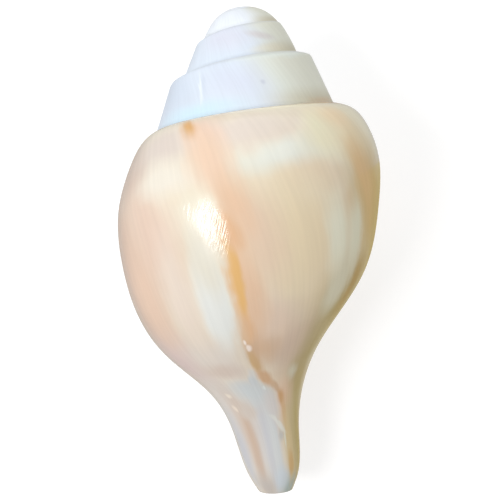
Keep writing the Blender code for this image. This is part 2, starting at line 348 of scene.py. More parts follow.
def whorl_band(turn, share):
    """Radius and depth on a spire whorl, from its upper seam (share 0) to its lower (1)."""
    upper = suture(turn)
    on_seam = growth_section(turn, SEAM_PLACE)
    lower = np.where(turn[..., None] >= 1.0, suture(turn - 1.0), on_seam)
    chord = upper + (lower - upper) * share[..., None]
    on_dome = smooth_step((turn - DOME_UNTIL) / (DOME_FROM - DOME_UNTIL))
    flat = dome_depth(upper[..., 0]) * (1.0 - share) + dome_depth(lower[..., 0]) * share
    depth = chord[..., 1] + on_dome * (dome_depth(chord[..., 0]) - flat)
    table = np.array(LEDGE)
    width = np.interp(turn, table[:, 0], table[:, 1])
    rising = np.sin(np.clip(share / LEDGE_SHARE, 0.0, 1.0) * pi / 2.0)
    fading = 1.0 - (share - LEDGE_SHARE) / (1.0 - LEDGE_SHARE)
    radius = chord[..., 0] + width * np.where(share < LEDGE_SHARE, rising, fading)
    return np.stack([radius, depth], axis=-1)


def outside(turn, place):
    """Radius and depth on the outside of the shell, spire and body alike."""
    turn, place = np.broadcast_arrays(np.asarray(turn, float), np.asarray(place, float))
    above = place <= SEAM_PLACE
    band = whorl_band(turn, np.clip(place / SEAM_PLACE, 0.0, 1.0))
    body = growth_section(np.minimum(turn, SECTION_TURNS[-1]), place)
    share = smooth_step((turn - SPIRE_FROM) / (SPIRE_UNTIL - SPIRE_FROM))
    spire = np.where(above, share, 0.0)[..., None]
    return body + spire * (band - body)


def lip_lead(place):
    """How far the lip stands ahead of the belly, in turns."""
    return smooth_curve(PLACES, LIP_LEAD, place) / 360.0


SEAM_LEAD = LIP_LEAD[0] / 360.0


def covered_lead(place):
    """The same where the next whorl covers the wall: even along the seam, then as the lip."""
    own = lip_lead(place)
    return own + (SEAM_LEAD - own) * (1.0 - smooth_step((place - CORNER_PLACE) / COVERED_BLEND))


def wall_lead(turn, place):
    """Lead of the grid lines on the outside, which join the lip's shape to even seams."""
    share = np.clip(place / SEAM_PLACE, 0.0, 1.0)
    age = np.clip(turn, 0.0, 1.0)
    own = lip_lead(place)
    below = own + age * (covered_lead(place) - own)
    seam = lip_lead(np.asarray(SEAM_PLACE))
    top = SEAM_LEAD * (1.0 - smooth_step(turn))
    older = SEAM_LEAD * (1.0 - smooth_step(turn - 1.0))
    bottom = np.where(turn > 1.0, older, seam + age * (SEAM_LEAD - seam))
    curve = own - (SEAM_LEAD + (seam - SEAM_LEAD) * share)
    above = top + (bottom - top) * share + (1.0 - age) * curve
    return np.where(place <= SEAM_PLACE, above, below)


def in_space(turn, outline):
    """Points of an outline, set round the axis: the spire is at +Y and the back at +Z."""
    azimuth = np.radians(LIP_AZIMUTH) - tau * turn
    radius, depth = outline[..., 0], outline[..., 1]
    return np.stack([radius * np.cos(azimuth), -depth, radius * np.sin(azimuth)], axis=-1)


def folds(turn, depth):
    """Height of the folds on the columella, which fade out towards the lip."""
    height = np.zeros_like(depth)
    for start in FOLD_DEPTHS:
        along = (depth - start + FOLD_RISE_PER_TURN * (turn - 1.0)) / FOLD_WIDTH
        height += FOLD_HEIGHT * np.exp(-(along**2))
    return height * smooth_step((turn - FOLD_FROM) / (FOLD_UNTIL - FOLD_FROM))


def outer_wall(turn, place):
    real = turn - wall_lead(turn, place)
    return in_space(real, outside(real, place)), real


def columella(turn, place):
    real = turn - covered_lead(place)
    outline = outside(real, place)
    upper_end = smooth_step((place - CORNER_PLACE) / LIP_FADE)
    lower_end = smooth_step((TIP_PLACE - place) / LIP_FADE)
    ends = upper_end * lower_end
    outline[..., 0] += folds(real, outline[..., 1]) * ends
    return in_space(real, outline), real


def inner_wall(behind, place):
    """The inside of the outer wall, this many turns behind the lip."""
    real = behind - lip_lead(place)
    lower = np.maximum(place, UNDER_SHOULDER)
    wall = outside(real, lower)
    along = outside(real, lower + WALL_PROBE / 2.0) - outside(real, lower - WALL_PROBE / 2.0)
    inward = np.stack([-along[..., 1], along[..., 0]], axis=-1)
    inward[place > FLARE_PLACE] = (-1.0, 0.0)
    inward /= np.linalg.norm(inward, axis=-1, keepdims=True)
    thin = 1.0 - (1.0 - LIP_THINNING) * (1.0 - smooth_step(behind / THINNING_TURNS))
    point = wall + inward * (smooth_curve(PLACES, WALL, lower) * thin)[..., None]
    corner = outside(1.0 + behind - SEAM_LEAD, np.full_like(place, CORNER_PLACE))
    near = np.clip(1.0 - place / UNDER_SHOULDER, 0.0, 1.0)[..., None]
    point += near * (corner - point)
    return in_space(real, point + inner_end_shift(behind, place)), real


def inner_end_shift(behind, place):
    """Moves the lower end of the inside onto the columella, where the mouth is not open."""
    real = behind - lip_lead(np.full_like(place, TIP_PLACE))
    rim = outside(real, TIP_PLACE) - np.array([WALL[-1], 0.0])
    end = outside(1.0 + real, TIP_PLACE)
    closing = smooth_step(real / SLIT_TURNS)[..., None]
    wanted = end + (1.0 - closing) * (rim - end) * np.array([1.0, 0.0])
    bend = np.clip((place - BEND_PLACE) / (TIP_PLACE - BEND_PLACE), 0.0, 1.0)[..., None]
    return bend**BEND_POWER * (wanted - rim)


def lip_edge(share, place):
    """The rounded lip, from the outside (share 0) to the inside (share 1)."""
    start, real = outer_wall(np.zeros_like(share), place)
    end = inner_wall(np.zeros_like(share), place)[0]
    even = ((1.0 - np.cos(pi * share)) / 2.0)[..., None]
    point = start + (end - start) * even
    thickness = np.linalg.norm(end - start, axis=-1)
    ahead = np.stack([point[..., 2], np.zeros_like(share), -point[..., 0]], axis=-1)
    ahead /= -np.linalg.norm(ahead, axis=-1, keepdims=True)
    free = smooth_step(place / UNDER_SHOULDER) * smooth_step((TIP_PLACE - place) / LIP_FADE)
    point += ahead * (thickness / 2.0 * np.sin(pi * share) * free)[..., None]
    on_seam = columella(np.ones_like(share), SEAM_PLACE + share * (CORNER_PLACE - SEAM_PLACE))[0]
    return np.where((place == 0.0)[..., None], on_seam, point), real


def add_sheet(shape, growth, first, last, wall, material):
    """Lays a grid on a wall, with the growth map. First and last run along its sides."""
    columns, rows = len(first) - 1, len(last) - 1
    grid = bmesh.ops.create_grid(shape, x_segments=columns, y_segments=rows, size=1.0)
    along, across = np.meshgrid(first, last)
    along, across = along.ravel(), across.ravel()
    points, real = wall(along, across)
    grown = np.stack([(real + lip_lead(across)) * TURN_ON_MAP, across], axis=-1)
    on_map = {}
    for vertex, point, place in zip(grid["verts"], points * MM, grown):
        vertex.co = point
        on_map[vertex] = place
    faces = {face for vertex in grid["verts"] for face in vertex.link_faces}
    for face in faces:
        face.material_index = material
        for corner in face.loops:
            corner[growth].uv = on_map[corner.vert]


def row_places():
    """Places of the rows: crowded at the suture, and growing sparser down to the tip."""
    upper = SEAM_PLACE * np.linspace(0.0, 1.0, SHOULDER_ROWS + 1) ** SHOULDER_CROWDING
    seam = np.linspace(SEAM_PLACE, CORNER_PLACE, SEAM_ROWS + 1)
    down = np.linspace(0.0, 1.0, BELLY_ROWS + 1)
    lower = CORNER_PLACE + (TIP_PLACE - CORNER_PLACE) * (1.0 - (1.0 - down) ** TIP_CROWDING)
    return np.concatenate([upper, seam[1:], lower[1:]])


# The two materials of the wall, by number
OUTSIDE, INSIDE = 0, 1


def wall_shape():
    """The whole wall of the shell, closed, with its growth map."""
    shape = bmesh.new()
    growth = shape.loops.layers.uv.new("growth")
    places = row_places()
    steps = STEPS_PER_TURN
    spire_steps = round((SPIRE_START - APEX_CAP_TURNS) * steps)
    spire_turns = 1.0 + np.arange(spire_steps + 1) / steps
    body_turns = np.arange(steps + 1) / steps
    mouth_turns = np.arange(round(MOUTH_TURNS * steps) + 1) / steps
    upper = places[: SHOULDER_ROWS + 1]
    covered = places[SHOULDER_ROWS + SEAM_ROWS :]
    across_lip = np.linspace(0.0, 1.0, SEAM_ROWS + 1)
    add_sheet(shape, growth, spire_turns, upper, outer_wall, OUTSIDE)
    add_sheet(shape, growth, body_turns, places, outer_wall, OUTSIDE)
    add_sheet(shape, growth, 1.0 + mouth_turns, covered, columella, INSIDE)
    add_sheet(shape, growth, mouth_turns, places, inner_wall, INSIDE)
    add_sheet(shape, growth, across_lip, places, lip_edge, INSIDE)
    bmesh.ops.remove_doubles(shape, verts=shape.verts, dist=MERGE)
    caps = bmesh.ops.holes_fill(shape, edges=[edge for edge in shape.edges if edge.is_boundary])
    for face in caps["faces"]:
        face.material_index = INSIDE
    bmesh.ops.recalc_face_normals(shape, faces=shape.faces)
    return shape


def dip_by_hand(shape):
    """Presses in the shallow, uneven dips that grinding and polishing by hand leave."""
    shape.normal_update()
    for vertex in shape.verts:
        patch = noise.noise(vertex.co / (DIP_PATCH * MM))
        vertex.co -= vertex.normal * (DIP * MM * (1.0 + patch) / 2.0)


def lay_down(shape):
    """Turns the shell onto its mouth, levels where it rests, and sets it in its box."""
    turned = Matrix.Rotation(radians(PITCH), 4, "X") @ Matrix.Rotation(radians(ROLL), 4, "Y")
    bmesh.ops.transform(shape, matrix=turned, verts=shape.verts)
    lowest = min(vertex.co.z for vertex in shape.verts)
    floor = Vector((0.0, 0.0, lowest + GROUND_FLAT * MM))
    everything = shape.verts[:] + shape.edges[:] + shape.faces[:]
    bmesh.ops.bisect_plane(
        shape,
        geom=everything,
        dist=MERGE,
        plane_co=floor,
        plane_no=(0.0, 0.0, 1.0),
        clear_inner=True,
    )
    bmesh.ops.holes_fill(shape, edges=[edge for edge in shape.edges if edge.is_boundary])
    corners = np.array([vertex.co for vertex in shape.verts])
    low, high = Vector(corners.min(axis=0)), Vector(corners.max(axis=0))
    room = SOLID_HIGH - SOLID_LOW
    size = high - low
    scale = Matrix.Diagonal((room.x / size.x, room.y / size.y, room.z / size.z, 1.0))
    place = Matrix.Translation(SOLID_LOW) @ scale @ Matrix.Translation(-low)
    bmesh.ops.transform(shape, matrix=place, verts=shape.verts)
    bmesh.ops.recalc_face_normals(shape, faces=shape.faces)


# Nodes of the materials


def feed(tree, node, values):
    """Sets sockets of a node, by name or number, to plain values or other nodes' outputs."""
    for name, value in values.items():
        if isinstance(value, bpy.types.NodeSocket):
            tree.links.new(value, node.inputs[name])
        else:
            node.inputs[name].default_value = value


def put(tree, kind, values=None, **options):
    """Adds a shader node with these options, and feeds its sockets."""
    made = tree.nodes.new("ShaderNode" + kind)
    for name, option in options.items():
        setattr(made, name, option)
    feed(tree, made, values or {})
    return made


def tint(red, green, blue):
    """A colour given as seen on a screen, from 0 to 255, for a shader socket."""
    linear = [((part / 255.0 + 0.055) / 1.055) ** 2.4 for part in (red, green, blue)]
    return (*linear, 1.0)


def over(tree, below, colour, mask):
    """Lays a colour over another where the mask is white."""
    mix = put(tree, "Mix", {0: mask, 6: below, 7: colour}, data_type="RGBA")
    return mix.outputs[2]


def graded(tree, value, start, end, low=0.0, high=1.0):
    """A smooth ramp from low at start to high at end."""
    values = {"Value": value, "From Min": start, "From Max": end, "To Min": low, "To Max": high}
    return put(tree, "MapRange", values, interpolation_type="SMOOTHSTEP").outputs[0]


def washed(tree, colour, along, start, full, strength, paint):
    """Lays a colour on, from where it starts to where it is full."""
    return over(tree, colour, tint(*paint), graded(tree, along, start, full, 0.0, strength))


def product(tree, first, second):
    return put(tree, "Math", {0: first, 1: second}, operation="MULTIPLY").outputs[0]


def larger(tree, first, second):
    return put(tree, "Math", {0: first, 1: second}, operation="MAXIMUM").outputs[0]


def cloud(tree, where, size, detail=3.0):
    """Noise from 0 to 1 in blotches about this big, in the units of where."""
    placed = put(tree, "Mapping", {"Vector": where, "Scale": (1.0 / size,) * 3})
    values = {"Vector": placed.outputs[0], "Scale": 1.0, "Detail": detail}
    return put(tree, "TexNoise", values).outputs["Fac"]


def blot(tree, where, centre, half, lean, edge, strength):
    """A soft spot on the growth map: centre and half size in millimetres, lean in degrees."""
    spot = put(tree, "TexGradient", {"Vector": where}, gradient_type="SPHERICAL")
    reach = 1.0 + edge
    spot.texture_mapping.vector_type = "TEXTURE"
    spot.texture_mapping.translation = (*centre, 0.0)
    spot.texture_mapping.rotation = (0.0, 0.0, radians(lean))
    spot.texture_mapping.scale = (half[0] * reach, half[1] * reach, 1.0)
    return graded(tree, spot.outputs["Fac"], 0.0, 2.0 * edge / reach, 0.0, strength)


# Markings of the body: centre and half size on the growth map, lean, softness of the
# edge, strength, colour as seen on a screen. Later ones lie over earlier ones. Places
# and sizes are listed one by one. Part of the colours, and BODY_COLOUR, were not: a
# program solved them from the picture.
BODY_COLOUR = (233, 225, 205)
BODY_BLOTCHES = (226, 208, 184)
BODY_MARKINGS = (
    # Painted shade: the left rim made darker, partly the shell's own pink, in this row and the next
    ("left side", (42.0, 50.0), (12.0, 40.0), 0.0, 0.9, 1.0, (208, 182, 164)),
    ("shaded left shoulder", (52.0, 17.0), (10.0, 8.0), -35.0, 0.8, 0.9, (202, 182, 168)),
    ("left flank", (57.0, 36.0), (8.0, 14.0), 0.0, 0.8, 1.0, (222, 197, 179)),
    ("upper left", (67.0, 12.0), (12.0, 5.0), -10.0, 0.8, 1.0, (218, 206, 196)),
    ("upper centre", (92.0, 12.0), (14.0, 5.0), 0.0, 0.8, 1.0, (222, 210, 198)),
    ("upper right", (122.0, 12.0), (9.0, 7.0), 0.0, 0.8, 1.0, (242, 226, 194)),
    ("right rim", (134.0, 14.0), (7.0, 14.0), 0.0, 0.8, 1.0, (236, 228, 202)),
    ("middle right", (97.0, 42.0), (13.0, 18.0), 0.0, 0.8, 1.0, (233, 215, 182)),
    # Painted shade: the right rim made darker and olive, partly the shell's own tan, in this row
    # and the next two
    ("shaded right side", (124.0, 34.0), (9.0, 16.0), 0.0, 0.8, 1.0, (208, 180, 126)),
    ("shaded right edge", (131.0, 42.0), (5.0, 14.0), 20.0, 0.8, 1.0, (206, 182, 128)),
    ("shaded lower right", (113.0, 60.0), (12.0, 10.0), -40.0, 0.8, 1.0, (190, 170, 124)),
    # Painted shade toward the right rim, partly the shell's own olive tan
    ("shade beside the neck", (103.0, 74.0), (10.0, 9.0), -30.0, 0.8, 1.0, (188, 170, 128)),
    ("under the right", (90.0, 70.0), (10.0, 10.0), 0.0, 0.8, 1.0, (213, 190, 171)),
    # Painted shade toward the right rim, partly the shell's own olive tan
    ("shaded right of the neck", (104.0, 86.0), (8.0, 8.0), 0.0, 0.8, 1.0, (190, 170, 128)),
    ("neck orange", (92.0, 92.0), (7.0, 7.0), 30.0, 0.8, 1.0, (226, 191, 165)),
    ("lower left", (46.0, 74.0), (10.0, 10.0), 0.0, 0.8, 1.0, (215, 194, 187)),
    ("lower centre", (62.0, 73.0), (11.0, 8.0), 0.0, 0.8, 1.0, (220, 210, 199)),
    ("neck left", (47.0, 88.0), (13.0, 8.0), 0.0, 0.8, 1.0, (216, 207, 198)),
    ("stem left", (33.5, 104.0), (11.0, 12.0), 0.0, 0.8, 1.0, (195, 194, 197)),
    ("stem tan", (51.5, 103.0), (8.4, 14.0), 0.0, 0.7, 1.0, (203, 184, 169)),
    ("stem middle", (69.5, 102.0), (10.5, 16.0), 0.0, 0.8, 1.0, (202, 202, 205)),
    ("stem right", (97.0, 103.0), (9.0, 12.0), 0.0, 0.8, 1.0, (209, 190, 149)),
    # Painted shade along the stem's right rim, partly the shell's own tan
    ("shaded stem edge", (108.0, 100.0), (7.0, 14.0), 0.0, 0.8, 1.0, (198, 180, 130)),
    ("tip", (92.0, 115.0), (14.0, 4.0), 0.0, 0.8, 1.0, (180, 192, 188)),
    ("tip left", (52.0, 114.0), (13.0, 3.8), 0.0, 0.8, 1.0, (196, 187, 179)),
    ("pink right of streak", (85.0, 38.0), (5.5, 12.0), 0.0, 0.8, 1.0, (228, 203, 178)),
    ("pink low", (85.0, 62.0), (6.0, 7.0), 0.0, 0.8, 1.0, (229, 206, 185)),
    ("cream shoulder", (66.0, 21.5), (9.0, 5.0), -8.0, 0.7, 1.0, (232, 225, 211)),
    ("pale band", (99.0, 19.6), (13.0, 3.6), -6.0, 0.7, 1.0, (228, 229, 218)),
    ("pale band end", (113.0, 15.5), (8.0, 5.0), -40.0, 0.7, 1.0, (236, 230, 201)),
    ("white flame", (107.0, 41.0), (3.8, 9.0), 8.0, 0.7, 1.0, (233, 230, 208)),
    ("grey flame", (108.0, 54.0), (4.0, 8.0), 20.0, 0.7, 1.0, (222, 216, 192)),
    ("long white patch", (69.6, 56.5), (5.2, 12.0), 3.0, 0.55, 1.0, (228, 229, 224)),
    ("white above", (70.5, 44.0), (3.2, 8.0), 0.0, 0.8, 1.0, (225, 220, 205)),
    ("bluish neck", (69.5, 87.0), (11.5, 4.0), 3.0, 0.7, 1.0, (205, 209, 209)),
    ("white at the neck", (74.6, 79.4), (1.9, 1.7), 0.0, 0.5, 1.0, (216, 212, 206)),
    ("yellow under the seam", (112.0, 3.0), (16.0, 2.2), 0.0, 0.6, 0.7, (247, 239, 210)),
    ("streak at the seam", (81.0, 11.0), (5.4, 5.0), 0.0, 0.8, 0.9, (233, 206, 187)),
    ("faint streak", (80.2, 19.2), (5.2, 8.5), 0.0, 0.7, 1.0, (231, 202, 177)),
    ("long streak", (77.4, 53.0), (2.5, 13.0), -2.0, 0.45, 1.0, (228, 190, 145)),
    ("streak end", (78.0, 68.5), (3.0, 5.0), 0.0, 0.7, 1.0, (202, 168, 137)),
    ("low streak", (77.4, 74.8), (2.4, 4.2), -12.0, 0.6, 1.0, (205, 170, 128)),
    ("tan right of the chips", (82.5, 70.6), (4.4, 4.6), 0.0, 0.8, 0.8, (213, 180, 151)),
    ("pale patch by the neck", (97.2, 81.4), (3.2, 2.6), 0.0, 0.8, 0.8, (216, 210, 190)),
    ("streak to the stem", (84.8, 85.4), (1.9, 3.8), -47.0, 0.6, 0.9, (206, 174, 144)),
    ("streak bend", (79.4, 81.2), (2.9, 3.8), -52.0, 0.5, 0.9, (208, 168, 132)),
    ("orange by the stem", (88.2, 89.8), (2.8, 2.8), -15.0, 0.6, 0.9, (208, 164, 118)),
    ("orange down the stem", (90.2, 95.4), (1.8, 4.2), -10.0, 0.6, 0.9, (216, 180, 140)),
    ("peach above the streak", (82.0, 31.0), (3.5, 7.0), 0.0, 0.8, 1.0, (229, 195, 165)),
    ("streak glow", (79.5, 53.0), (3.6, 13.0), -2.0, 0.8, 1.0, (228, 194, 164)),
    ("streak core", (77.0, 50.5), (1.5, 10.5), -3.0, 0.6, 1.0, (229, 183, 119)),
    ("streak core low", (77.6, 63.0), (1.6, 4.0), -2.0, 0.7, 1.0, (226, 184, 145)),
    ("streak low left", (75.4, 64.0), (2.2, 5.0), 0.0, 0.8, 0.8, (222, 188, 154)),
    ("streak under the highlight", (78.4, 37.5), (2.6, 4.6), 0.0, 0.7, 0.9, (226, 182, 142)),
    ("streak start", (77.0, 7.4), (2.3, 3.6), -6.0, 0.9, 1.0, (217, 171, 116)),
    # Painted shade toward the right rim, partly the shell's own olive
    ("olive shade at the right", (117.0, 54.0), (3.0, 7.0), 20.0, 0.7, 1.0, (188, 158, 108)),
    ("pale right shoulder", (119.5, 18.5), (5.5, 4.5), 0.0, 0.8, 0.6, (240, 224, 190)),
    ("ochre right", (121.5, 28.5), (3.8, 8.8), 0.0, 0.8, 1.0, (224, 190, 142)),
    ("pale strip at the right", (114.0, 41.5), (2.6, 7.0), 10.0, 0.7, 0.9, (230, 228, 206)),
    ("orange at the right shoulder", (121.0, 10.6), (5.0, 3.0), -20.0, 0.8, 0.6, (244, 218, 182)),
    ("white chip", (75.4, 67.3), (0.8, 1.1), 0.0, 0.5, 1.0, (246, 232, 220)),
    ("lower chip", (76.6, 69.8), (1.2, 1.5), 0.0, 0.5, 1.0, (240, 224, 212)),
    ("stem orange stripe", (51.5, 100.0), (3.6, 8.0), 0.0, 0.8, 0.6, (200, 174, 152)),
    ("stem white strip", (74.5, 103.0), (5.0, 11.0), 6.0, 0.7, 1.0, (212, 214, 213)),
    ("stem tan strip", (92.5, 104.0), (4.5, 8.0), -6.0, 0.7, 1.0, (217, 196, 153)),
    ("neck shade", (61.0, 77.5), (9.0, 2.6), 4.0, 0.8, 1.0, (212, 195, 182)),
    ("white left of the neck", (57.0, 92.5), (7.0, 2.4), 0.0, 0.8, 1.0, (208, 196, 185)),
    ("grey under the neck", (80.0, 92.6), (4.6, 5.0), -20.0, 0.7, 0.9, (214, 208, 204)),
    ("blue knob", (73.0, 82.6), (2.4, 2.4), 0.0, 0.6, 0.9, (202, 206, 208)),
    ("spot in the neck", (77.2, 85.8), (0.9, 0.8), 0.0, 0.5, 0.7, (224, 228, 224)),
    ("shade under the ridge", (83.6, 100.8), (3.2, 1.5), -10.0, 0.7, 0.7, (192, 192, 190)),
    # Painted light on the crest of a ridge that the wall doesn't have, in this row and the next
    ("lit crest of the ridge", (82.2, 97.7), (0.9, 6.6), -73.0, 0.5, 0.8, (226, 226, 218)),
    ("lit end of the ridge", (88.0, 101.4), (0.8, 2.6), 10.0, 0.5, 0.8, (222, 222, 208)),
    ("left blush", (47.0, 52.0), (6.0, 13.0), 0.0, 0.8, 1.0, (224, 195, 173)),
    ("pale left", (60.0, 53.0), (4.0, 14.0), 0.0, 0.8, 1.0, (228, 213, 198)),
    # Painted glints, in this row and the next
    ("glint by the neck", (51.2, 87.8), (1.3, 0.7), 0.0, 0.6, 0.7, (236, 224, 208)),
    ("lower glint", (48.6, 91.4), (1.5, 0.8), 0.0, 0.6, 0.7, (234, 220, 204)),
    ("blue end of the stem", (78.0, 112.0), (10.0, 3.8), 0.0, 0.6, 0.8, (206, 214, 220)),
    ("orange low on the stem", (92.0, 107.8), (3.6, 2.6), 0.0, 0.6, 0.8, (212, 174, 122)),
    ("white end of the lip", (4.0, 62.0), (5.0, 44.0), 0.0, 0.8, 0.8, (238, 230, 216)),
    ("flush behind the lip", (14.0, 42.0), (7.0, 24.0), 0.0, 0.9, 0.9, (228, 192, 158)),
    ("streak behind the lip", (22.0, 48.0), (1.8, 24.0), -2.0, 0.7, 0.8, (220, 166, 112)),
    ("under flush", (168.0, 40.0), (16.0, 24.0), 0.0, 0.9, 0.9, (232, 202, 170)),
    ("under band", (184.0, 19.5), (30.0, 4.0), 0.0, 0.7, 0.8, (236, 232, 218)),
    ("under flame", (157.0, 46.0), (3.0, 18.0), 4.0, 0.7, 0.9, (238, 236, 222)),
    ("under streak", (182.0, 42.0), (2.2, 22.0), -2.0, 0.6, 0.9, (224, 170, 114)),
    ("second under streak", (208.0, 38.0), (2.6, 18.0), 2.0, 0.6, 0.8, (222, 176, 126)),
    ("under white", (196.0, 54.0), (6.0, 14.0), 0.0, 0.7, 0.9, (236, 238, 230)),
    ("under shade", (146.0, 58.0), (8.0, 16.0), 0.0, 0.9, 0.8, (196, 178, 138)),
    ("under stem", (150.0, 104.0), (18.0, 16.0), 0.0, 0.9, 0.8, (206, 196, 182)),
    ("under stem stripe", (166.0, 100.0), (3.0, 14.0), 0.0, 0.7, 0.8, (210, 176, 138)),
)

# Turns of growth over which the body's colours give way to the spire's
SPIRE_COLOURS_FROM = 0.86
SPIRE_COLOURS_FULL = 1.04
# The whorls of the spire are a bluish white, partly a painted cool light tint, and
# cream on the side of this place, which comes round once a turn: a painted warm light
# tint, with painted shade at its foot
SPIRE_COLOUR = (216, 226, 238)
WARM_LIT_SIDE = 356.0
WARM_LIT_CREAM = (226, 227, 212)
SHADED_CREAM_FOOT = (204, 198, 174)
# Washes of colour: where they start and where they are full, in millimetres on the
# growth map, strength, colour. The first is on the oldest whorls, the next two are
# painted shade in the seams of the body and of the spire, the body's partly its own
# brown, and the last two in the mouth
OLD_WHITE = (640.0, 740.0, 1.0, (234, 240, 247))
BROWN_SEAM_SHADE = (4.4, 1.6, 0.65, (184, 144, 104))
LILAC_SEAM_SHADE = (2.6, 0.4, 0.3, (188, 188, 198))
DEEPER_WITHIN = (12.0, 110.0, 0.75, (232, 186, 146))
DEEPER_BELOW = (84.0, 112.0, 0.5, (226, 190, 158))
# The glaze of the mouth, its blotches, and pale stripes this long on the growth map
GLAZE = (244, 234, 220)
GLAZE_BLOTCHES = (238, 204, 172)
STRIPE = (246, 240, 230)
STRIPE_LENGTH = 31.0
STRIPE_SHIFT = 0.4
# Markings of the spire that the cream lies over, laid out as those of the body
SPIRE_UNDER_CREAM = (
    # Painted cool light: the spire's left side made bluer
    ("cool lit blue side", (281.0, 11.0), (12.0, 14.0), 0.0, 0.9, 0.8, (204, 215, 230)),
    ("pale blue foot", (294.0, 22.0), (15.0, 4.0), 0.0, 0.9, 0.9, (205, 231, 244)),
    ("lilac middle", (314.0, 11.0), (10.0, 6.0), 0.0, 0.9, 0.7, (214, 220, 236)),
    ("clear white", (335.0, 13.0), (5.0, 13.0), 0.0, 0.9, 0.8, (227, 240, 239)),
)
# Markings that lie over the cream
SPIRE_MARKINGS = (
    ("white top edge", (345.0, 1.6), (26.0, 1.8), 0.0, 0.7, 0.7, (228, 236, 230)),
    # Painted shade where the whorl meets the seam, partly its own brown
    ("brown shade at the seam", (350.0, 23.2), (9.0, 1.2), 0.0, 0.8, 0.55, (208, 180, 148)),
    ("dark spot", (324.4, 13.9), (0.9, 0.7), 0.0, 0.8, 0.4, (178, 184, 204)),
    # The scar's pale line: partly painted light along its edge, partly the scar's own white
    ("scar", (298.6, 11.0), (0.6, 6.5), 14.0, 0.9, 0.6, (236, 243, 248)),
    ("shade by the scar", (300.8, 10.0), (1.1, 5.0), 14.0, 0.9, 0.45, (198, 208, 224)),
    ("lilac on the second whorl", (532.0, 8.0), (16.0, 8.0), 0.0, 0.9, 0.7, (218, 219, 232)),
    ("smudge", (556.0, 11.5), (8.0, 2.6), 20.0, 0.8, 0.6, (206, 198, 198)),
    ("yellow foot", (558.0, 21.0), (12.0, 2.6), 0.0, 0.8, 0.5, (226, 221, 200)),
)


def growth_map(tree):
    """The growth map, as a point in millimetres."""
    return put(tree, "UVMap", uv_map="growth").outputs[0]


def marked(tree, colour, where, markings):
    """Lays each marking over the colours before it."""
    for _, centre, half, lean, edge, strength, paint in markings:
        spot = blot(tree, where, centre, half, lean, edge, strength)
        colour = over(tree, colour, tint(*paint), spot)
    return colour


def streaked(tree, where, lean, across, along, detail):
    """Noise drawn out into lines that lean this many degrees off the growth lines."""
    turned = {"Rotation": (0.0, 0.0, radians(lean)), "Scale": (across, along, 1.0)}
    placed = put(tree, "Mapping", {"Vector": where, **turned}, vector_type="TEXTURE")
    values = {"Vector": placed.outputs[0], "Scale": 1.0, "Detail": detail}
    return put(tree, "TexNoise", values).outputs["Fac"]


def strayed(tree, value, drift):
    """Shifts a place on the growth map to and fro, so that the edges of markings wander."""
    shift = graded(tree, drift, 0.2, 0.8, -WANDER / 2.0, WANDER / 2.0)
    return put(tree, "Math", {0: value, 1: shift}, operation="ADD").outputs[0]


def scratches(tree, lines, share):
    """Lines about zero, so that they only roughen the patches that the share lets them into."""
    level = put(tree, "Math", {0: lines, 1: 0.5}, operation="SUBTRACT").outputs[0]
    return product(tree, level, share)


def hand_polish():
    """Group for what growth and hand polishing leave on every wall: lines, scratches and haze."""
    group = bpy.data.node_groups.new("growth and hand polish", "ShaderNodeTree")
    for name, kind in (("Growth", "Vector"), ("Place", "Vector"), ("Scratching", "Float")):
        group.interface.new_socket(name, in_out="INPUT", socket_type="NodeSocket" + kind)
    for name in ("Height", "Lines", "Haze"):
        group.interface.new_socket(name, in_out="OUTPUT", socket_type="NodeSocketFloat")
    start = group.nodes.new("NodeGroupInput")
    growth, place, scratching = start.outputs[0], start.outputs[1], start.outputs[2]
    lines = streaked(group, growth, *GROWTH_LINES)
    fine = streaked(group, growth, *FINE_LINES)
    steep = streaked(group, growth, *STEEP_SCRATCHES)
    level = streaked(group, growth, *LEVEL_SCRATCHES)
    steep_cloud = cloud(group, place, STEEP_PATCH, 1.0)
    level_cloud = cloud(group, place, LEVEL_PATCH, 1.0)
    anywhere = graded(group, steep_cloud, 0.5, 0.75, 0.0, STEEP_SHARE)
    level_share = graded(group, level_cloud, 0.5, 0.25, 0.0, LEVEL_SHARE)
    steep_share = larger(group, anywhere, scratching)
    height = product(group, lines, LINE_HEIGHT)
    cuts = (
        (fine, FINE_LINE_HEIGHT),
        (scratches(group, steep, steep_share), SCRATCH_HEIGHT),
        (scratches(group, level, level_share), SCRATCH_HEIGHT),
    )
    for part, size in cuts:
        added = {0: part, 1: size, 2: height}
        height = put(group, "Math", added, operation="MULTIPLY_ADD").outputs[0]
    end = group.nodes.new("NodeGroupOutput")
    haze = cloud(group, place, HAZE_BLOTCH, 2.0)
    feed(group, end, {"Height": height, "Lines": lines, "Haze": haze})
    return group


def polished(tree, surface, polish, growth, place, scratching, gloss, dull):
    """Sets the bump and the roughness of a wall, and gives back its growth lines."""
    marks = tree.nodes.new("ShaderNodeGroup")
    marks.node_tree = polish
    feed(tree, marks, {"Growth": growth, "Place": place, "Scratching": scratching})
    relief = {"Strength": 1.0, "Distance": MM, "Height": marks.outputs["Height"]}
    bump = put(tree, "Bump", relief).outputs["Normal"]
    rough = graded(tree, marks.outputs["Haze"], 0.2, 0.8, gloss, dull)
    feed(tree, surface, {"Normal": bump, "Roughness": rough, "IOR": SHELL_IOR})
    return marks.outputs["Lines"]


def lined(tree, colour, lines, dark, light):
    """Makes a colour a little darker and lighter along the growth lines."""
    shade = graded(tree, lines, 0.3, 0.7, dark, light)
    mixed = {0: 1.0, 6: colour, 7: shade}
    return put(tree, "Mix", mixed, data_type="RGBA", blend_type="MULTIPLY").outputs[2]


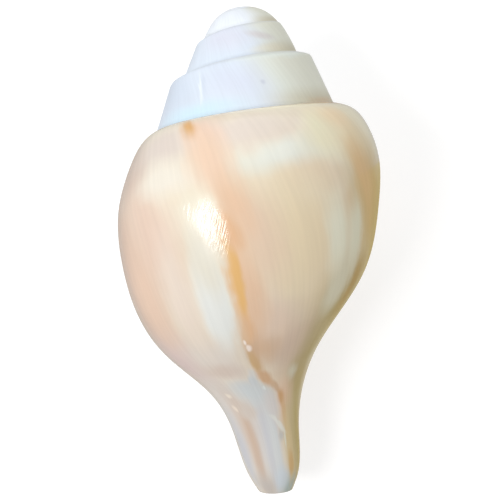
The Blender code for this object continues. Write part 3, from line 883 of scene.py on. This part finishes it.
def spire_colour(tree, wander, across, down):
    """Bluish white whorls with a cream side, whiter towards the old end. The bluish white is partly
    a painted cool light tint, the cream side a painted warm light tint, and its darker foot painted
    shade.
    """
    turned = {0: across, 1: tau / TURN_ON_MAP, 2: -WARM_LIT_SIDE * tau / TURN_ON_MAP}
    angle = put(tree, "Math", turned, operation="MULTIPLY_ADD").outputs[0]
    facing = put(tree, "Math", {0: angle}, operation="COSINE").outputs[0]
    cream = graded(tree, facing, 0.45, 1.02)
    foot = product(tree, cream, graded(tree, down, 15.0, SEAM_PLACE))
    colour = washed(tree, tint(*SPIRE_COLOUR), across, *OLD_WHITE)
    colour = marked(tree, colour, wander, SPIRE_UNDER_CREAM)
    # Painted warm light on the cream side, and painted shade at its foot
    colour = over(tree, colour, tint(*WARM_LIT_CREAM), cream)
    colour = over(tree, colour, tint(*SHADED_CREAM_FOOT), foot)
    colour = marked(tree, colour, wander, SPIRE_MARKINGS)
    # Painted shade in the seams of the spire
    return washed(tree, colour, down, *LILAC_SEAM_SHADE)


def outside_material(polish):
    """The cream wall with its markings and the spire's colours, polished and a little scratched."""
    material = bpy.data.materials.new("polished outside")
    material.use_nodes = True
    tree = material.node_tree
    surface = tree.nodes["Principled BSDF"]
    grown = growth_map(tree)
    place = put(tree, "TexCoord").outputs["Object"]
    parts = put(tree, "SeparateXYZ", {0: grown})
    across, down = parts.outputs["X"], parts.outputs["Y"]
    stray_across = strayed(tree, across, streaked(tree, grown, *STRAY_LINES))
    stray_down = strayed(tree, down, cloud(tree, place, STRAY_BLOTCH))
    wander = put(tree, "CombineXYZ", {0: stray_across, 1: stray_down}).outputs[0]
    blotches = graded(tree, cloud(tree, place, BODY_BLOTCH), 0.4, 0.7)
    colour = over(tree, tint(*BODY_COLOUR), tint(*BODY_BLOTCHES), blotches)
    colour = marked(tree, colour, wander, BODY_MARKINGS)
    # Painted shade in the seam under the spire, partly its own brown
    colour = washed(tree, colour, down, *BROWN_SEAM_SHADE)
    spire_from = SPIRE_COLOURS_FROM * TURN_ON_MAP
    on_spire = graded(tree, across, spire_from, SPIRE_COLOURS_FULL * TURN_ON_MAP)
    colour = over(tree, colour, spire_colour(tree, wander, across, down), on_spire)
    beside = blot(tree, grown, *SCRATCHED_BESIDE)
    scratching = larger(tree, blot(tree, grown, *SCRATCHED), beside)
    brilliance = graded(
        tree, scratching, 0.0, BRILLIANT_FROM, PLAIN_BRILLIANCE, SCRATCH_BRILLIANCE
    )
    gloss = graded(tree, on_spire, 0.0, 1.0, GLOSS, SPIRE_GLOSS)
    dull = graded(tree, on_spire, 0.0, 1.0, DULLEST, SPIRE_DULLEST)
    lines = polished(tree, surface, polish, grown, place, scratching, gloss, dull)
    colour = lined(tree, colour, lines, *OUTSIDE_LINES)
    feed(tree, surface, {"Base Color": colour, "Specular IOR Level": brilliance})
    return material


def inside_material(polish):
    """Porcelain glaze of the mouth: peach by the lip, whiter and then deeper in colour inside."""
    material = bpy.data.materials.new("glazed mouth")
    material.use_nodes = True
    tree = material.node_tree
    surface = tree.nodes["Principled BSDF"]
    grown = growth_map(tree)
    place = put(tree, "TexCoord").outputs["Object"]
    parts = put(tree, "SeparateXYZ", {0: grown})
    across, down = parts.outputs["X"], parts.outputs["Y"]
    blotches = graded(tree, cloud(tree, place, GLAZE_BLOTCH), 0.35, 0.65)
    colour = over(tree, tint(*GLAZE), tint(*GLAZE_BLOTCHES), blotches)
    colour = washed(tree, colour, across, *DEEPER_WITHIN)
    colour = washed(tree, colour, down, *DEEPER_BELOW)
    band = {0: across, 1: tau / STRIPE_LENGTH, 2: STRIPE_SHIFT}
    angle = put(tree, "Math", band, operation="MULTIPLY_ADD").outputs[0]
    stripes = put(tree, "Math", {0: angle}, operation="SINE").outputs[0]
    colour = washed(tree, colour, stripes, 0.3, 1.0, 0.5, STRIPE)
    lines = polished(tree, surface, polish, grown, place, 0.0, GLAZE_GLOSS, GLAZE_DULLEST)
    feed(tree, surface, {"Base Color": lined(tree, colour, lines, *GLAZE_LINES)})
    return material


def shell():
    shape = wall_shape()
    dip_by_hand(shape)
    lay_down(shape)
    mesh = bpy.data.meshes.new("polished_shell_wall")
    shape.to_mesh(mesh)
    shape.free()
    polish = hand_polish()
    mesh.materials.append(outside_material(polish))
    mesh.materials.append(inside_material(polish))
    mesh.shade_smooth()
    wall = bpy.data.objects.new("polished_shell_wall", mesh)
    bpy.context.scene.collection.objects.link(wall)
    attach(wall, "root")
    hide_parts(NODE)


# Floor, light and camera


# The floor's half size in metres, grey, own glow and roughness
FLOOR_HALF = 3.0
FLOOR_GREY = 0.42
FLOOR_GLOW = 0.66
FLOOR_ROUGHNESS = 0.7
# The warm card's half size and middle in metres, and the colour of its glow
CARD_HALF = 0.3
CARD_MIDDLE = (0.3, -0.27, -0.002)
CARD_GLOW = (0.46, 0.38, 0.17, 1.0)

# Lamps: direction from the shell, distance, width and height in metres, power in watts,
# and how far they are turned about their direction, in degrees
LAMPS = {
    "window": ((-0.51, -0.21, 0.85), 0.6, 0.17, 0.28, 1.95, -70.0),
    "left side": ((-1.0, 0.3, 0.9), 1.2, 1.2, 1.2, 1.65, 0.0),
    "spire side": ((0.2, 1.0, 0.9), 1.2, 1.4, 1.0, 5.7, 0.0),
}
# The point of the shell that the lamps face, in metres
LIT_POINT = (0.0, 0.0, 0.05)
WORLD_GLOW = 0.42


def glowing_sheet(name, half, middle, finish, looks):
    """A level square that glows by itself. Its looks are the values of its shader's sockets."""
    shape = bmesh.new()
    place = Matrix.Translation(middle)
    bmesh.ops.create_grid(shape, x_segments=1, y_segments=1, size=half, matrix=place)
    mesh = bpy.data.meshes.new(name)
    shape.to_mesh(mesh)
    shape.free()
    material = bpy.data.materials.new(finish)
    material.use_nodes = True
    tree = material.node_tree
    feed(tree, tree.nodes["Principled BSDF"], looks)
    mesh.materials.append(material)
    sheet = bpy.data.objects.new(name, mesh)
    bpy.context.scene.collection.objects.link(sheet)
    return sheet


def floor():
    looks = {
        "Base Color": (FLOOR_GREY, FLOOR_GREY, FLOOR_GREY, 1.0),
        "Emission Color": (1.0, 1.0, 1.0, 1.0),
        "Emission Strength": FLOOR_GLOW,
        "Roughness": FLOOR_ROUGHNESS,
    }
    ground = glowing_sheet("floor", FLOOR_HALF, (0.0, 0.0, 0.0), "pale floor", looks)
    ground.visible_glossy = False


def warm_card():
    """A warm card under the right of the floor, seen only as its reflection in the polish."""
    looks = {
        "Base Color": (0.0, 0.0, 0.0, 1.0),
        "Specular IOR Level": 0.0,
        "Emission Color": CARD_GLOW,
        "Emission Strength": 1.0,
    }
    card = glowing_sheet("warm card", CARD_HALF, CARD_MIDDLE, "warm card", looks)
    card.visible_camera = False
    card.visible_diffuse = False
    card.visible_shadow = False


def aimed(place, target):
    """The turn that makes a lamp at a place face the target."""
    return (Vector(target) - Vector(place)).to_track_quat("-Z", "Y").to_matrix().to_4x4()


def softbox(name, direction, distance, width, height, power, lean):
    """A rectangular lamp that faces the shell from a direction, turned about it by a lean."""
    lamp = bpy.data.lights.new(name, "AREA")
    lamp.shape = "RECTANGLE"
    lamp.size = width
    lamp.size_y = height
    lamp.energy = power
    target = Vector(LIT_POINT)
    place = target + Vector(direction).normalized() * distance
    item = bpy.data.objects.new(name, lamp)
    leaning = Matrix.Rotation(radians(lean), 4, "Z")
    item.matrix_world = Matrix.Translation(place) @ aimed(place, target) @ leaning
    bpy.context.scene.collection.objects.link(item)


def lights():
    for name, lamp in LAMPS.items():
        softbox(name, *lamp)
    world = bpy.data.worlds.new("studio")
    world.use_nodes = True
    background = world.node_tree.nodes["Background"]
    background.inputs["Color"].default_value = (1.0, 1.0, 1.0, 1.0)
    background.inputs["Strength"].default_value = WORLD_GLOW
    bpy.context.scene.world = world


# The view of the picture: the camera's place, the ways it calls right and up, and the
# focal length. A program fitted them to the outline and the seams
CAMERA_PLACE = (0.02074, -0.04406, 0.28045)
CAMERA_RIGHT = (0.99440, -0.05193, -0.09202)
CAMERA_UP = (0.06672, 0.98392, 0.16571)
LENS = 69.3
SENSOR_WIDTH = 36.0


def camera():
    data = bpy.data.cameras.new("camera")
    data.lens = LENS
    data.sensor_width = SENSOR_WIDTH
    data.clip_start = 0.01
    right, up = Vector(CAMERA_RIGHT), Vector(CAMERA_UP)
    turned = Matrix((right, up, right.cross(up))).transposed().to_4x4()
    item = bpy.data.objects.new("camera", data)
    item.matrix_world = Matrix.Translation(CAMERA_PLACE) @ turned
    bpy.context.scene.collection.objects.link(item)
    bpy.context.scene.camera = item


shell()
floor()
warm_card()
lights()
camera()
bpy.context.scene.view_settings.view_transform = "Standard"
